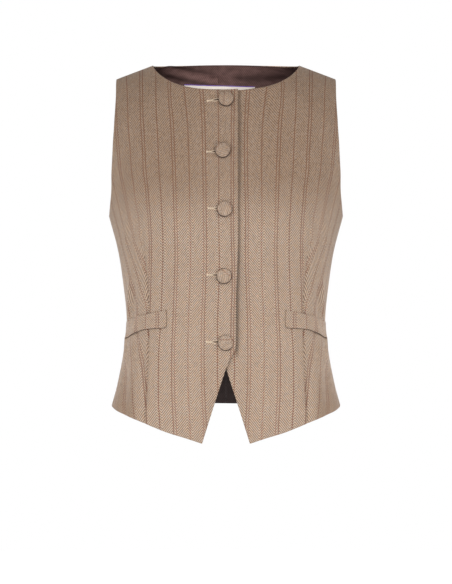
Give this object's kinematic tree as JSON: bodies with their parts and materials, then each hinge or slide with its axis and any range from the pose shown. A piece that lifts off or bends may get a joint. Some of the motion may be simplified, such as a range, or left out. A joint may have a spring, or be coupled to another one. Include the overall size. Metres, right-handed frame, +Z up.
{
  "type": "suit waistcoat",
  "caption": "Fitted waistcoat worn open at the neck and armholes, with a buttoned front that ends in points, narrow pocket flaps and a lined back.",
  "frame": {"origin": "midway between the two neck points of the shoulder seams, where the wearer's shoulders hold it", "axes": "+Z up, +X to the wearer's left, the front faces -Y"},
  "size_m": [0.3192, 0.2312, 0.5179],
  "materials": {
    "suiting": "herringbone wool blend with dotted stripes",
    "lining": "dark brown satin",
    "label": "plain woven tape",
    "button_cloth": "suiting drawn over a domed shell"
  },
  "bodies": {
    "root": {"front_right": "suiting", "front_left": "suiting", "back_right": "suiting", "back_left": "suiting", "lining_right": "lining", "lining_left": "lining", "flap_right": "suiting", "flap_left": "suiting", "neck_label": "label", "button_1": "button_cloth", "button_2": "button_cloth", "button_3": "button_cloth", "button_4": "button_cloth", "button_5": "button_cloth"}
  },
  "joints": []
}
